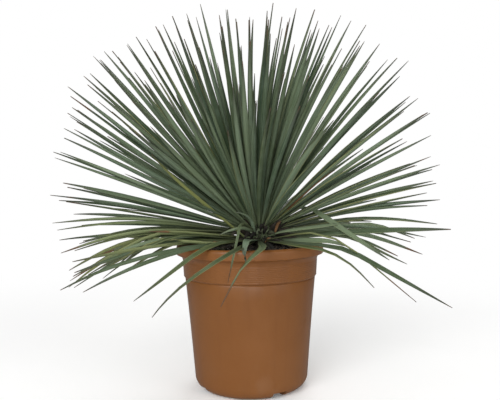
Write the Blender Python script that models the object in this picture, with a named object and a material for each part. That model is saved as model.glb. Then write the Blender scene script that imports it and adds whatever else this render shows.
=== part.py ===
# Potted yucca: a nursery pot, its potting mix, the short trunk and one dense head of narrow leaves.
# Metres, +Z up. The origin is the centre of the pot's flat underside, and -Y is the front.

import math
import random

import bmesh
import bpy
from mathutils import Matrix, Vector

# Fits
GAP = 0.0003                     # between touching solids

# Pot, a thin turned shell
ROUND_SIDES = 48
POT_HEIGHT = 0.250
LIP_RADIUS = 0.130
LIP_DEPTH = 0.0170               # top of the lip to its lower edge
LIP_WIDTH = 0.0065               # across the top
LIP_DROP = 0.0066                # how far the lip's top falls away to its outer face
LIP_SHOULDER = 0.0046            # the width over which it falls
COVE_WIDTH = 0.0100              # the hollow under the lip, from the collar out to the lip's edge
COVE_HEIGHT = 0.0115
NECK_RADIUS = 0.1172             # with the wall taken off, the inside at NECK_HEIGHT
NECK_HEIGHT = 0.2306
EDGE_ROUND = 0.0016              # the small slopes at the lip's and the collar's edges
COLLAR_BOTTOM = 0.1928
COLLAR_RADIUS = 0.1176
COLLAR_FLARE = 0.0015            # how much wider the collar is at its top
BODY_TOP_RADIUS = 0.1149         # just under the collar
BODY_FOOT_RADIUS = 0.1000        # where the rounded foot starts
FOOT_ROUND = 0.020
WALL = 0.0025
FLOOR = 0.0035
NOTCH_WIDTH = 0.025              # drain channels under the floor, open through the rounded foot
NOTCH_HEIGHT = 0.0110
NOTCH_INNER = 0.058              # radius at which a channel ends inwards
CHANNEL_OUTER = 0.0785           # radius up to which a channel has its own walls and roof
NOTCH_AZIMUTHS = (29, 119, 209, 299)

# Potting mix
SOIL_EDGE = 0.2315               # its height at the wall
SOIL_RISE = 0.0045               # how much higher it lies at the trunk
SOIL_LUMP = 0.0012
SOIL_RINGS = 5
SOIL_WAVES = ((5, 90), (11, -210), (17, 400))   # lumps: how many round the pot, and their slant

# Trunk, with the short stubs of old leaves round it
TRUNK_RADIUS = 0.0235
TRUNK_FOOT = 0.165
TRUNK_TOP = 0.2425
TRUNK_SIDES = 24
STUB_COUNT = 26
STUB_RINGS = 2
STUB_LENGTH = 0.022
STUB_WIDTH = 0.0075
STUB_THICKNESS = 0.0018
STUB_SPREAD = (0.6, 1.15)        # share of the full length
STUB_DEPTH = 0.0045              # how far under the trunk's top the stubs leave it
STUB_RISE = (3, 4)               # degrees over level, and how much more for the next ring

# Leaf head
CORE_RADIUS = 0.0300
CORE_HALF_HEIGHT = 0.0220
CORE_CENTRE = TRUNK_TOP + GAP + CORE_HALF_HEIGHT
CORE_SIDES = 10
CORE_BANDS = 5
LEAF_COUNT = 392
GOLDEN_ANGLE = 137.508
LOWEST_SINE = -0.30              # sine of the last leaf's own angle on the spiral
CROWDING = 1.27                  # over 1 draws the spiral's leaves towards the upright middle
LOW_SEATS = 1.8                  # how fast the last leaves' seats go down the head
FLATTEST = (1.9, 6.9)            # degrees above level at which the outer leaves leave the head
LONG_LEAF = 0.418                # from the head's centre, for the upright leaves
SHORT_LEAF = 0.328               # for the level ones
SHORT_UNDER = 6                  # elevation in degrees under which leaves are short
LONG_OVER = 50                   # and over which they are long
LIMP_UNDER = 30                  # elevation under which leaves hang more and more
LENGTH_SPREAD = (0.87, 1.01)
WIDTH_SPREAD = (0.84, 1.10)
AZIMUTH_SPREAD = 3.5
ELEVATION_SPREAD = 2.5
DROOP = (1.0, 6.0)               # degrees of droop for every leaf
LIMP_DROOP = (1.0, 14.0)         # more for the limp ones
OLD_DROOP = (2.0, 26.0)          # and more again for the oldest
BEND_START = (0.10, 0.28)        # share of the length where the droop starts, and more for limp ones
OLD_BEND = 0.85                  # how much shorter the oldest leaves' bends may be
SWAY = 4.0
TWIST = 68.0
LIMP_TWIST = 0.2                 # how much more the limp leaves turn about themselves
LEAF_WIDTH = 0.0122
LEAF_THICKNESS = 0.0015
LEAF_SINK = 0.008                # how deep a leaf's root lies in the head
TWIST_AT_ROOT = 0.35             # share of a leaf's twist that it has at its root
PATH_STEPS = 24
SEED = 870

# A leaf's outline: share of its length, share of its full width, share of its full thickness
LEAF_OUTLINE = (
    (0.0, 0.42, 1.2), (0.30, 0.84, 1.0), (0.52, 1.0, 1.0), (0.78, 0.72, 0.75), (1.0, 0.0, 0.5),
)
STIFF_STATIONS = (0.0, 0.50, 0.77)
STIFF_DROOP = 9.0                # degrees of droop up to which a leaf counts as stiff
LONGEST_BEND = 0.24              # share of the length between the two stations of a bend
LAST_STATION = 0.80
NEXT_STATION = 0.08              # least share of the length between the end of a bend and the next section

# Leaves that hang or fold in the open front, where the spiral's level leaves are missing.
# Azimuth (from the front, + to the right), elevation, length, droop, where the bend starts and
# how long it is as shares of the length, turn to the side, twist, share of the full width.
FRONT_LEAVES = (
    (-29, 2.0, 0.284, 32, 0.44, 0.06, -28, -76, 0.74),
    (-7, 2.0, 0.362, 50, 0.46, 0.50, -80, -70, 0.66),
    (-3, 30.6, 0.257, 84, 0.26, 0.33, -14, -24, 0.50),
    (8, 2.1, 0.281, 62, 0.50, 0.24, -100, 0, 0.80),
    (-1, 7.0, 0.176, 82, 0.66, 0.18, -8, -6, 0.70),
    (-12, 10.0, 0.139, 37, 0.58, 0.42, -89, 50, 0.55),
    (-66, 37.0, 0.300, 6, 0.30, 0.70, -4, -40, 0.80),
    (71, 28.4, 0.295, 55, 0.30, 0.09, -26, 62, 1.00),
    (41, 2.0, 0.440, 14, 0.44, 0.06, -15, 78, 0.85),
    (90, 4.9, 0.333, 45, 0.30, 0.23, -15, 12, 0.60),
    (31, 2.0, 0.306, 45, 0.54, 0.31, 83, 40, 0.75),
    (58, 2.6, 0.190, 17, 0.68, 0.20, 6, 55, 0.95),
    (66, 7.0, 0.345, 6, 0.30, 0.70, 6, 50, 1.05),
    (-64, 2.6, 0.372, 25, 0.36, 0.30, -12, -45, 0.95),
    (-88, 6.0, 0.372, 38, 0.43, 0.06, -2, -40, 0.75),
)
LEVEL_UNDER = 10                 # elevation under which one of these counts as level
FRONT_SEAT = -34                 # where the level ones sit, degrees below the head's middle
BARE_FRONT = ((42, 24), (64, 9))  # no spiral leaf within this azimuth and below this elevation


def clear_scene():
    for obj in list(bpy.data.objects):
        bpy.data.objects.remove(obj, do_unlink=True)


def principled(name, colour, roughness, metallic=0.0):
    mat = bpy.data.materials.new(name)
    mat.use_nodes = True
    shader = mat.node_tree.nodes["Principled BSDF"]
    shader.inputs["Base Color"].default_value = (*colour, 1.0)
    shader.inputs["Roughness"].default_value = roughness
    shader.inputs["Metallic"].default_value = metallic
    return mat


def add_object(name, bm, mat, collection=None):
    bmesh.ops.recalc_face_normals(bm, faces=bm.faces)
    mesh = bpy.data.meshes.new(name)
    bm.to_mesh(mesh)
    bm.free()
    obj = bpy.data.objects.new(name, mesh)
    (collection or bpy.context.scene.collection).objects.link(obj)
    if mat is not None:
        mesh.materials.append(mat)
    return obj


def smooth(obj, angle):
    obj.data.shade_smooth()
    obj.data.set_sharp_from_angle(angle=math.radians(angle))


def heading(azimuth, elevation):
    """Unit vector: azimuth in degrees from -Y towards +X, elevation in degrees above level."""
    a, e = math.radians(azimuth), math.radians(elevation)
    return Vector((math.sin(a) * math.cos(e), -math.cos(a) * math.cos(e), math.sin(e)))


def arc(centre_r, centre_z, radius, start, end, steps):
    """Points (radius, height) on a quarter or half round, angles in degrees from +r towards +z."""
    angles = [math.radians(start + (end - start) * i / steps) for i in range(steps + 1)]
    return [(centre_r + radius * math.cos(a), centre_z + radius * math.sin(a)) for a in angles]


def turned(profile, sides, height_at=None):
    """A closed turned body: the profile runs from the axis to the axis, as (radius, height)."""
    bm = bmesh.new()
    rings = []
    for r, z in profile:
        if r == 0.0:
            rings.append([bm.verts.new((0.0, 0.0, z))])
            continue
        ring = []
        for i in range(sides):
            a = 2 * math.pi * i / sides
            lift = height_at(r, a, z) if height_at else 0.0
            ring.append(bm.verts.new((r * math.sin(a), -r * math.cos(a), z + lift)))
        rings.append(ring)
    for low, high in zip(rings, rings[1:]):
        for i in range(sides):
            j = (i + 1) % sides
            if len(low) == 1:
                bm.faces.new((low[0], high[i], high[j]))
            elif len(high) == 1:
                bm.faces.new((low[i], low[j], high[0]))
            else:
                bm.faces.new((low[i], low[j], high[j], high[i]))
    return bm


def inner_wall():
    """The pot's inside, from the floor's edge up to the neck, as (radius, height)."""
    foot = arc(BODY_FOOT_RADIUS - FOOT_ROUND, FOOT_ROUND + FLOOR - WALL, FOOT_ROUND - WALL, -90, 0, 3)
    return foot + [
        (BODY_TOP_RADIUS - WALL, COLLAR_BOTTOM + EDGE_ROUND / 2),
        (COLLAR_RADIUS - WALL - EDGE_ROUND, COLLAR_BOTTOM + 3 * EDGE_ROUND),
        (NECK_RADIUS - WALL, NECK_HEIGHT),
    ]


def radial_blocks(name, inner, outer, bottom, top, width):
    """One guide block along each drain channel, between two radii and two heights."""
    bm = bmesh.new()
    size = Matrix.Diagonal((width, outer - inner, top - bottom, 1.0))
    for azimuth in NOTCH_AZIMUTHS:
        place = heading(azimuth, 0.0) * (inner + outer) / 2 + Vector((0.0, 0.0, (bottom + top) / 2))
        turn = Matrix.Rotation(math.radians(azimuth), 4, "Z")
        bmesh.ops.create_cube(bm, size=1.0, matrix=Matrix.Translation(place) @ turn @ size)
    return add_object(name, bm, None)


def boolean(obj, tool, operation):
    tool.hide_render = True
    tool.display_type = "WIRE"
    change = obj.modifiers.new(tool.name, "BOOLEAN")
    change.object = tool
    change.operation = operation


def make_pot():
    outside = arc(BODY_FOOT_RADIUS - FOOT_ROUND, FOOT_ROUND, FOOT_ROUND, -90, 0, 5)
    outside += [
        (BODY_TOP_RADIUS, COLLAR_BOTTOM - EDGE_ROUND),
        (COLLAR_RADIUS - EDGE_ROUND, COLLAR_BOTTOM + EDGE_ROUND / 2),
        (COLLAR_RADIUS - EDGE_ROUND / 2, COLLAR_BOTTOM + 2 * EDGE_ROUND),
    ]
    # the hollow under the lip, then the lip's outer face, its sloping top and its rolled inner edge
    for r, z in arc(0.0, 0.0, 1.0, 180, 90, 5):
        outside.append((
            COLLAR_RADIUS + COLLAR_FLARE + (1 + r) * COVE_WIDTH, POT_HEIGHT - LIP_DEPTH - (1 - z) * COVE_HEIGHT
        ))
    outside.append((LIP_RADIUS, POT_HEIGHT - LIP_DEPTH + EDGE_ROUND / 2))
    lip = [
        (LIP_RADIUS - (1 - r) * LIP_SHOULDER, POT_HEIGHT - (1 - z) * LIP_DROP)
        for r, z in arc(0.0, 0.0, 1.0, 0, 90, 4)
    ]
    roll = LIP_WIDTH - LIP_SHOULDER
    lip += arc(LIP_RADIUS - LIP_SHOULDER, POT_HEIGHT - roll, roll, 90, 180, 3)[1:]
    profile = [(0.0, 0.0)] + outside + lip + inner_wall()[::-1] + [(0.0, FLOOR)]
    plastic = principled("terracotta_plastic", (0.25, 0.105, 0.040), 0.42)
    pot = add_object("pot", turned(profile, ROUND_SIDES), plastic)
    walls = radial_blocks(
        "channel_walls", NOTCH_INNER - WALL, CHANNEL_OUTER, FLOOR / 2, NOTCH_HEIGHT + WALL,
        NOTCH_WIDTH + 2 * WALL,
    )
    boolean(pot, walls, "UNION")
    notches = radial_blocks("notches", NOTCH_INNER, LIP_RADIUS, -WALL, NOTCH_HEIGHT, NOTCH_WIDTH)
    boolean(pot, notches, "DIFFERENCE")
    smooth(pot, 32)
    return pot


def soil_lumps(r, a, z):
    """How much the mix lies over its plain level: a low lumpy mound. Nothing below the edge moves."""
    if z < SOIL_EDGE:
        return 0.0
    inward = max(0.0, 1.0 - r / NECK_RADIUS)
    waves = sum(math.sin(count * a + slant * r) for count, slant in SOIL_WAVES) / len(SOIL_WAVES)
    return SOIL_RISE * inward + SOIL_LUMP * waves * min(1.0, 6 * inward)


def make_soil():
    side = [(r - GAP, max(z, FLOOR + GAP)) for r, z in inner_wall()]
    edge_radius = side[-1][0]
    hole = TRUNK_RADIUS + GAP
    top = [
        (edge_radius + (hole - edge_radius) * i / SOIL_RINGS, SOIL_EDGE)
        for i in range(SOIL_RINGS + 1)
    ]
    bottom = TRUNK_FOOT - GAP
    profile = [(0.0, FLOOR + GAP)] + side + top + [(hole, bottom), (0.0, bottom)]
    mix = principled("potting_mix", (0.030, 0.022, 0.014), 0.95)
    soil = add_object("soil", turned(profile, ROUND_SIDES, soil_lumps), mix)
    room = radial_blocks(
        "channel_room", NOTCH_INNER - WALL - GAP, LIP_RADIUS, 0.0, NOTCH_HEIGHT + WALL + GAP,
        NOTCH_WIDTH + 2 * (WALL + GAP),
    )
    boolean(soil, room, "DIFFERENCE")
    return soil


def join_all(obj, collection, solver="EXACT"):
    """Fuses every object of the collection into obj, applies it and removes the collection's objects."""
    union = obj.modifiers.new("fuse", "BOOLEAN")
    union.operation = "UNION"
    union.operand_type = "COLLECTION"
    union.collection = collection
    union.solver = solver
    graph = bpy.context.evaluated_depsgraph_get()
    fused = bpy.data.meshes.new_from_object(obj.evaluated_get(graph), depsgraph=graph)
    fused.name = obj.name
    obj.modifiers.clear()
    obj.data = fused
    for part in list(collection.objects):
        bpy.data.objects.remove(part, do_unlink=True)
    bpy.data.collections.remove(collection)


def keep_largest_body(obj):
    """Drops loose scraps and the walls of sealed hollows that fusing leaves."""
    bm = bmesh.new()
    bm.from_mesh(obj.data)
    left, bodies = set(bm.verts), []
    while left:
        body, edge = set(), {left.pop()}
        while edge:
            vert = edge.pop()
            body.add(vert)
            edge |= {e.other_vert(vert) for e in vert.link_edges} & left
            left -= edge
        bodies.append(body)
    bodies.sort(key=len)
    for body in bodies[:-1]:
        bmesh.ops.delete(bm, geom=list(body), context="VERTS")
    bm.to_mesh(obj.data)
    bm.free()


def blade(points, sides, ups, widths, thicknesses):
    """A keeled blade: a three-cornered section at each point but the last, which is the tip."""
    bm = bmesh.new()
    sections = []
    for p, side, up, w, t in zip(points, sides, ups, widths, thicknesses):
        corners = (p + side * w / 2 + up * t / 3, p - side * w / 2 + up * t / 3, p - up * t * 2 / 3)
        sections.append([bm.verts.new(c) for c in corners])
    bm.faces.new(sections[0])
    for a, b in zip(sections, sections[1:]):
        for i in range(3):
            j = (i + 1) % 3
            bm.faces.new((a[i], a[j], b[j]))
            bm.faces.new((a[i], b[j], b[i]))
    tip = bm.verts.new(points[-1])
    last = sections[-1]
    for i in range(3):
        bm.faces.new((last[i], last[(i + 1) % 3], tip))
    return bm


def make_trunk():
    profile = [
        (0.0, TRUNK_FOOT), (TRUNK_RADIUS * 0.94, TRUNK_FOOT), (TRUNK_RADIUS, TRUNK_FOOT + 0.004),
        (TRUNK_RADIUS, TRUNK_TOP - 0.003), (TRUNK_RADIUS * 0.90, TRUNK_TOP), (0.0, TRUNK_TOP),
    ]
    bark = principled("trunk_bark", (0.060, 0.038, 0.022), 0.9)
    trunk = add_object("trunk", turned(profile, TRUNK_SIDES), bark)
    draws = random.Random(SEED + 1)
    stubs = bpy.data.collections.new("stubs")
    bpy.context.scene.collection.children.link(stubs)
    for i in range(STUB_COUNT):
        azimuth = 360 * i / STUB_COUNT + draws.uniform(-AZIMUTH_SPREAD, AZIMUTH_SPREAD)
        elevation = STUB_RISE[0] + STUB_RISE[1] * (i % STUB_RINGS)
        length = STUB_LENGTH * draws.uniform(*STUB_SPREAD)
        out = heading(azimuth, elevation)
        across = Vector((-out.y, out.x, 0.0)).normalized()
        up = out.cross(across)
        sunk = TRUNK_RADIUS * 0.2
        foot = heading(azimuth, 0.0) * (TRUNK_RADIUS - sunk) + Vector((0.0, 0.0, TRUNK_TOP - STUB_DEPTH))
        points = [foot, foot + out * (sunk + length / 2), foot + out * (sunk + length)]
        bm = blade(points, [across] * 2, [up] * 2, [STUB_WIDTH, STUB_WIDTH * 0.6], [STUB_THICKNESS] * 2)
        add_object(f"stub_{i}", bm, None, stubs)
    join_all(trunk, stubs)
    keep_largest_body(trunk)
    smooth(trunk, 30)
    return trunk


def either_way(draws, spread):
    return draws.uniform(-spread, spread)


def spiral_leaf(index, draws):
    """One leaf of the golden-angle spiral, from the upright middle (index 0) to the level outside."""
    sine = 1.0 - ((index + 0.5) / LEAF_COUNT) ** CROWDING * (1.0 - LOWEST_SINE)
    own = math.degrees(math.asin(sine))
    azimuth = (index * GOLDEN_ANGLE + either_way(draws, AZIMUTH_SPREAD) + 180) % 360 - 180
    elevation = max(own + either_way(draws, ELEVATION_SPREAD), draws.uniform(*FLATTEST))
    rising = min(1.0, max(0.0, (elevation - SHORT_UNDER) / (LONG_OVER - SHORT_UNDER)))
    rising = rising * rising * (3 - 2 * rising)
    length = (SHORT_LEAF + (LONG_LEAF - SHORT_LEAF) * rising) * draws.uniform(*LENGTH_SPREAD)
    limp = 1.0 - min(1.0, max(0.0, elevation / LIMP_UNDER))
    age = min(1.0, max(0.0, sine / LOWEST_SINE))
    droop = draws.uniform(*DROOP) + limp * draws.uniform(*LIMP_DROOP) + age * draws.uniform(*OLD_DROOP)
    start = BEND_START[0] + BEND_START[1] * limp
    span = (1.0 - start) * (1.0 - age * draws.uniform(0.0, OLD_BEND))
    sway = either_way(draws, SWAY) * (1.0 + limp)
    twist = either_way(draws, TWIST) * (1.0 + LIMP_TWIST * limp)
    width = LEAF_WIDTH * draws.uniform(*WIDTH_SPREAD)
    seat = own if own > 0 else own * LOW_SEATS
    return (azimuth, elevation, length, droop, start, span, sway, twist, width, seat)


def all_leaves():
    draws = random.Random(SEED)
    found = []
    for index in range(LEAF_COUNT):
        leaf = spiral_leaf(index, draws)
        if any(abs(leaf[0]) < azimuth and leaf[1] < elevation for azimuth, elevation in BARE_FRONT):
            continue
        found.append(leaf)
    for leaf in FRONT_LEAVES:
        seat = FRONT_SEAT if leaf[1] < LEVEL_UNDER else leaf[1]
        found.append((*leaf[:8], LEAF_WIDTH * leaf[8], seat))
    return found


def leaf_path(leaf):
    """Points along a leaf's middle line, with the direction at each, evenly spaced."""
    azimuth, elevation, length, droop, start, span, sway, twist, width, seat = leaf
    root = heading(azimuth, seat)
    point = Vector((root.x * CORE_RADIUS, root.y * CORE_RADIUS, CORE_CENTRE + root.z * CORE_HALF_HEIGHT))
    point -= heading(azimuth, elevation) * LEAF_SINK
    stretch = length - (CORE_RADIUS - LEAF_SINK)
    points, ways = [], []
    for i in range(PATH_STEPS + 1):
        s = i / PATH_STEPS
        bend = min(1.0, max(0.0, (s - start) / span))
        way = heading(azimuth + sway * bend, elevation - droop * bend)
        if i:
            point = point + (way + ways[-1]).normalized() * (stretch / PATH_STEPS)
        points.append(point.copy())
        ways.append(way)
    return points, ways


def outline_at(share):
    """Shares of the full width and thickness at this share of a leaf's length."""
    for (s0, w0, t0), (s1, w1, t1) in zip(LEAF_OUTLINE, LEAF_OUTLINE[1:]):
        if share <= s1:
            k = (share - s0) / (s1 - s0)
            return w0 + (w1 - w0) * k, t0 + (t1 - t0) * k
    return 0.0, 0.5


def stations(droop, start, span):
    """Where a leaf has a section: at its root, round its bend and before its tip."""
    if droop <= STIFF_DROOP:
        return STIFF_STATIONS
    bent = start + min(span, LONGEST_BEND)
    return (0.0, start, bent, max(LAST_STATION, bent + NEXT_STATION))


def leaf_blade(leaf):
    points, ways = leaf_path(leaf)
    droop, start, span, twist, width = leaf[3], leaf[4], leaf[5], leaf[7], leaf[8]
    centres, sides, ups, widths, thicknesses = [], [], [], [], []
    for share in stations(droop, start, span):
        at = share * PATH_STEPS
        k = min(int(at), PATH_STEPS - 1)
        centres.append(points[k].lerp(points[k + 1], at - k))
        way = ways[k].lerp(ways[k + 1], at - k).normalized()
        level = Vector((-way.y, way.x, 0.0)).normalized()
        turn = twist * (TWIST_AT_ROOT + (1.0 - TWIST_AT_ROOT) * share)
        side = Matrix.Rotation(math.radians(turn), 3, way) @ level
        up = way.cross(side)
        wide, thick = outline_at(share)
        sides.append(side)
        ups.append(up)
        widths.append(width * wide)
        thicknesses.append(LEAF_THICKNESS * thick)
    centres.append(points[-1])
    return blade(centres, sides, ups, widths, thicknesses)


def make_leaf_head():
    bands = []
    for i in range(CORE_BANDS + 1):
        a = math.pi * (i / CORE_BANDS - 0.5)
        bands.append((CORE_RADIUS * math.cos(a), CORE_CENTRE + CORE_HALF_HEIGHT * math.sin(a)))
    bands[0] = (0.0, bands[0][1])
    bands[-1] = (0.0, bands[-1][1])
    green = principled("leaf_green", (0.060, 0.085, 0.050), 0.55)
    head = add_object("leaf_head", turned(bands, CORE_SIDES), green)
    leaves = bpy.data.collections.new("leaves")
    bpy.context.scene.collection.children.link(leaves)
    for i, leaf in enumerate(all_leaves()):
        add_object(f"leaf_{i}", leaf_blade(leaf), None, leaves)
    join_all(head, leaves, "MANIFOLD")
    keep_largest_body(head)
    smooth(head, 30)
    return head


clear_scene()
make_pot()
make_soil()
make_trunk()
make_leaf_head()
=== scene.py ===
# Looks of a potted yucca: nursery pot, potting mix, short trunk and a round head of narrow leaves.
# Metres, +Z up, seen from -Y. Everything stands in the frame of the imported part.

import math
import random

import bpy
import numpy as np
from mathutils import Matrix, Vector, noise


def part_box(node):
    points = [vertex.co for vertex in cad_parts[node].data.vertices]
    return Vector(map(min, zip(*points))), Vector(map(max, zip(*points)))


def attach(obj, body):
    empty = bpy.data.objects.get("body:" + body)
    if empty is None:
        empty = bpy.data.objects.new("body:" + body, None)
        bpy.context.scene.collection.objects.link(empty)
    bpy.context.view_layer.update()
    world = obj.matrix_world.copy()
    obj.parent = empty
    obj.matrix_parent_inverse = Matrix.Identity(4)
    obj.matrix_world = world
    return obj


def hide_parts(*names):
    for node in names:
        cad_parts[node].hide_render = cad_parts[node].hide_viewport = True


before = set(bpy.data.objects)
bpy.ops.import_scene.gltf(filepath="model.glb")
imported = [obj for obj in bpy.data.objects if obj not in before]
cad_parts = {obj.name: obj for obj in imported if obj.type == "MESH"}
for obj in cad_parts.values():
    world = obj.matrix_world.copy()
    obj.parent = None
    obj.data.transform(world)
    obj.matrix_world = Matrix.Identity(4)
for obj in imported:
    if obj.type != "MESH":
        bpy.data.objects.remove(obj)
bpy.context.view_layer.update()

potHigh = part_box("pot")[1]
trunkLow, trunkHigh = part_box("trunk")


# The camera stands where the photograph's pot rim, collar and foot fit within a pixel
cameraPlace = {"distance": 0.993, "height": 0.348, "aside": 0.0016, "lens": 40.13, "down": 1.26, "roll": 0.80}

# Small helpers


def deselectAll():
    if bpy.context.mode != "OBJECT":
        bpy.ops.object.mode_set(mode="OBJECT")
    bpy.ops.object.select_all(action="DESELECT")


def named(name):
    made = bpy.context.object
    made.name = name
    made.data.name = name
    return made


def heading(azimuth, elevation):
    # a unit vector: azimuth in degrees from the front towards +X, elevation above level
    a, e = math.radians(azimuth), math.radians(elevation)
    return Vector((math.sin(a) * math.cos(e), -math.cos(a) * math.cos(e), math.sin(e)))


def arcPoints(centreR, centreZ, radius, start, end, steps, tall=None):
    # part of a circle, or of an oval where its height is given
    found = []
    for i in range(steps + 1):
        a = math.radians(start + (end - start) * i / steps)
        found.append((centreR + radius * math.cos(a), centreZ + (tall or radius) * math.sin(a)))
    return found


def clipped(value):
    return min(1.0, max(0.0, value))


def eased(value):
    return value * value * (3 - 2 * value)


def chosen(*pieces):
    deselectAll()
    for piece in pieces:
        piece.select_set(True)
    bpy.context.view_layer.objects.active = pieces[0]


def applyModifiers(piece):
    chosen(piece)
    for name in [m.name for m in piece.modifiers]:
        bpy.ops.object.modifier_apply(modifier=name)


def joined(pieces, name):
    chosen(*pieces)
    bpy.ops.object.join()
    return named(name)


def dressed(piece, mat):
    piece.data.materials.clear()
    piece.data.materials.append(mat)


def marked(piece, label, value):
    # one value for the whole piece, under the name that its material reads
    layer = piece.data.attributes.new(label, "FLOAT", "POINT")
    layer.data.foreach_set("value", [value] * len(piece.data.vertices))


def turnedBody(name, profile, sides):
    # one vertex is extruded along the profile, and the line is spun round the pot's axis
    deselectAll()
    bpy.ops.mesh.primitive_plane_add(size=0.01)
    body = named(name)
    bpy.ops.object.mode_set(mode="EDIT")
    bpy.ops.mesh.merge(type="CENTER")
    bpy.ops.transform.translate(value=(profile[0][0], 0, profile[0][1]))
    for (r0, z0), (r1, z1) in zip(profile, profile[1:]):
        bpy.ops.mesh.extrude_region_move(TRANSFORM_OT_translate={"value": (r1 - r0, 0, z1 - z0)})
    bpy.ops.mesh.select_all(action="SELECT")
    bpy.ops.mesh.spin(steps=sides, angle=2 * math.pi, center=(0, 0, 0), axis=(0, 0, 1))
    bpy.ops.mesh.select_all(action="SELECT")
    bpy.ops.mesh.remove_doubles(threshold=0.00002)
    bpy.ops.mesh.normals_make_consistent(inside=False)
    bpy.ops.object.mode_set(mode="OBJECT")
    return body


def smoothBy(piece, degrees):
    chosen(piece)
    bpy.ops.object.shade_smooth_by_angle(angle=math.radians(degrees))


# Shader helpers. An input is fed with a plain value or with a (node, output) pair to link from, and
# the helpers give back such pairs.


def feed(tree, node, inputs):
    for key, value in inputs.items():
        if isinstance(value, tuple) and isinstance(value[0], bpy.types.Node):
            tree.links.new(value[0].outputs[value[1]], node.inputs[key])
        elif value is not None:
            node.inputs[key].default_value = value
    return node


def put(tree, kind, inputs=None, **settings):
    node = tree.nodes.new(kind)
    row, column = divmod(len(tree.nodes), 8)
    node.location = (column * 200 - 1700, -row * 320)
    for key, value in settings.items():
        setattr(node, key, value)
    return feed(tree, node, inputs or {})


def maths(tree, how, a, b=None, c=None, clamp=False):
    return put(tree, "ShaderNodeMath", {0: a, 1: b, 2: c}, operation=how, use_clamp=clamp), 0


def mixColours(tree, factor, a, b):
    a, b = [value if isinstance(value[0], bpy.types.Node) else (*value, 1.0) for value in (a, b)]
    return put(tree, "ShaderNodeMix", {0: factor, 6: a, 7: b}, data_type="RGBA"), 2


def layered(tree, colour, layers):
    # each layer: its mask, how much of it shows (None for all of it) and its colour
    for mask, share, over in layers:
        factor = maths(tree, "MULTIPLY", mask, share) if share else mask
        colour = mixColours(tree, factor, colour, over)
    return colour


def rampBetween(tree, value, low, high, to=(0.0, 1.0)):
    inputs = {"Value": value, "From Min": low, "From Max": high, "To Min": to[0], "To Max": to[1]}
    return put(tree, "ShaderNodeMapRange", inputs, interpolation_type="SMOOTHSTEP"), "Result"


def attribute(tree, label):
    return put(tree, "ShaderNodeAttribute", attribute_name=label), "Fac"


def ownPlace(tree):
    return put(tree, "ShaderNodeTexCoord"), "Object"


def stretched(tree, where, scale):
    return put(tree, "ShaderNodeMapping", {"Vector": where, "Scale": scale}), "Vector"


def noiseOn(tree, where, scale, detail, roughness=0.5):
    inputs = {"Vector": where, "Scale": scale, "Detail": detail, "Roughness": roughness}
    return put(tree, "ShaderNodeTexNoise", inputs), "Fac"


def bumped(tree, height, strength, distance, under=None):
    inputs = {"Height": height, "Strength": strength, "Distance": distance, "Normal": under}
    return put(tree, "ShaderNodeBump", inputs), "Normal"


# Shared groups


def newGroup(name, inputs, outputs):
    tree = bpy.data.node_groups.new(name, "ShaderNodeTree")
    for label, value in inputs.items():
        socket = tree.interface.new_socket(label, in_out="INPUT", socket_type="NodeSocketFloat")
        socket.default_value = value
    for label in outputs:
        tree.interface.new_socket(label, in_out="OUTPUT", socket_type="NodeSocketFloat")
    return tree, tree.nodes.new("NodeGroupInput"), tree.nodes.new("NodeGroupOutput")


def softPatchesGroup():
    # wide cloudy patches on the object's own coordinates
    tree, given, result = newGroup("softPatches", {"Scale": 8, "From": 0.4, "To": 0.65}, ("Mask",))
    clouds = noiseOn(tree, ownPlace(tree), (given, "Scale"), 5.0, 0.6)
    feed(tree, result, {"Mask": rampBetween(tree, clouds, (given, "From"), (given, "To"))})
    return tree


def fineGritGroup():
    # small grains, with a few larger specks among them
    tree, given, result = newGroup("fineGrit", {"Scale": 900, "Specks": 0.1}, ("Height", "Speck"))
    where = ownPlace(tree)
    grains = noiseOn(tree, where, (given, "Scale"), 3.0)
    coarser = maths(tree, "MULTIPLY", (given, "Scale"), 0.22)
    cells = put(tree, "ShaderNodeTexVoronoi", {"Vector": where, "Scale": coarser})
    near = maths(tree, "LESS_THAN", (cells, "Distance"), (given, "Specks"))
    some = maths(tree, "LESS_THAN", (cells, "Color"), 0.35)
    feed(tree, result, {"Height": grains, "Speck": maths(tree, "MULTIPLY", near, some)})
    return tree


def longLinesGroup():
    # fine lines that run the length of a leaf or fibre: Along and Across come from its own attributes
    given = {"Along": 0, "Across": 0, "Seed": 0, "Lines": 9}
    tree, given, result = newGroup("longLines", given, ("Mask", "Height"))
    sideways = maths(tree, "MULTIPLY", (given, "Across"), (given, "Lines"))
    slow = maths(tree, "MULTIPLY", (given, "Along"), 2.2)
    own = maths(tree, "MULTIPLY", (given, "Seed"), 37.0)
    where = put(tree, "ShaderNodeCombineXYZ", {"X": sideways, "Y": slow, "Z": own}), "Vector"
    streaks = noiseOn(tree, where, 1.0, 4.0, 0.7)
    mask = put(tree, "ShaderNodeMapRange", {"Value": streaks, "From Min": 0.35, "From Max": 0.65}), "Result"
    feed(tree, result, {"Mask": mask, "Height": streaks})
    return tree


softPatches, fineGrit, longLines = softPatchesGroup(), fineGritGroup(), longLinesGroup()


def patchesOn(tree, scale, low, high):
    inputs = {"Scale": scale, "From": low, "To": high}
    return put(tree, "ShaderNodeGroup", inputs, node_tree=softPatches), "Mask"


def gritOn(tree, scale, specks):
    node = put(tree, "ShaderNodeGroup", {"Scale": scale, "Specks": specks}, node_tree=fineGrit)
    return (node, "Height"), (node, "Speck")


def linesOn(tree, along, across, seed, lines):
    inputs = {"Along": along, "Across": across, "Seed": seed, "Lines": lines}
    node = put(tree, "ShaderNodeGroup", inputs, node_tree=longLines)
    return (node, "Mask"), (node, "Height")


def newMaterial(name):
    mat = bpy.data.materials.new(name)
    mat.use_nodes = True
    return mat, mat.node_tree, mat.node_tree.nodes["Principled BSDF"]


# Pot

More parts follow.
